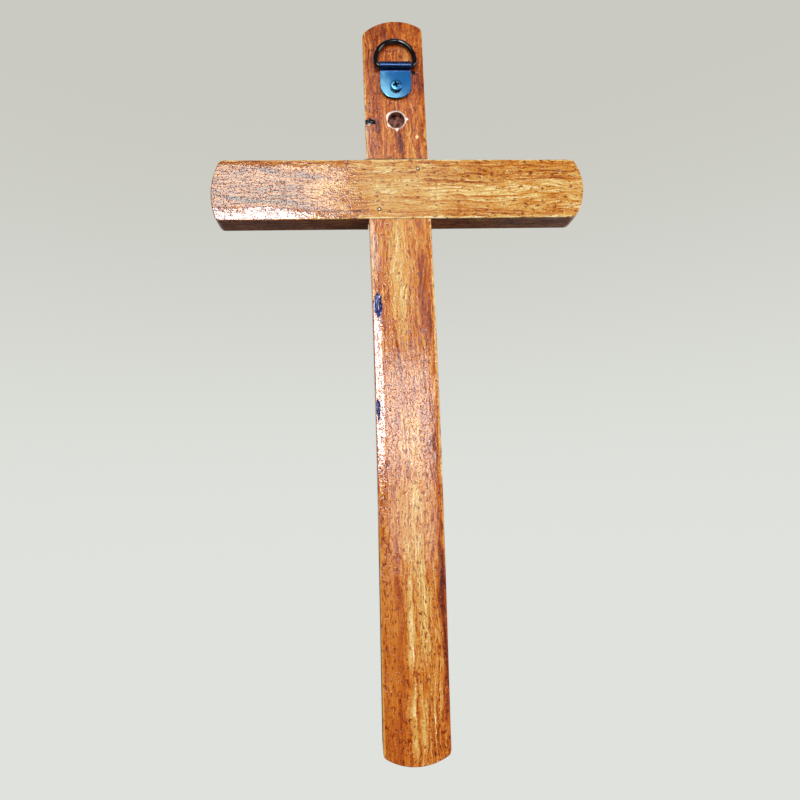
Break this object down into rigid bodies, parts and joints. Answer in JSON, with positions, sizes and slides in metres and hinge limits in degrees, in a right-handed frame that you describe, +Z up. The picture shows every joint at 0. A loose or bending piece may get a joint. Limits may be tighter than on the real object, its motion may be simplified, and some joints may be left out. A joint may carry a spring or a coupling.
{
  "type": "wall cross",
  "caption": "Wooden wall cross of crossing beams halved together with rounded ends, with a folding D-ring hanger and a nail hole on its back.",
  "frame": {"origin": "top inside of the D-ring, where a nail or hook in the wall carries the cross", "axes": "+Z up the upright; -Y towards the wall, out of the back that carries the hanger; +X to the right seen from the back"},
  "size_m": [0.154, 0.0156, 0.2992],
  "materials": {
    "upright_wood": "gloss varnish",
    "crossbar_wood": "gloss varnish",
    "blued_steel": "gloss black-blue",
    "black_steel": "gloss black",
    "pin_steel": "dull under varnish"
  },
  "bodies": {
    "cross": {"upright": "upright_wood", "crossbar": "crossbar_wood", "hanger_strap": "blued_steel", "hanger_screw": "blued_steel", "lap_pin_upper": "pin_steel", "lap_pin_lower": "pin_steel"},
    "ring": {"d_ring": "black_steel"}
  },
  "joints": [
    {"name": "ring_swing", "type": "hinge", "parent": "cross", "child": "ring", "pos_m": [0, -0.00074, -0.01079], "axis": [1, 0, 0], "range_deg": [0, 165]}
  ]
}
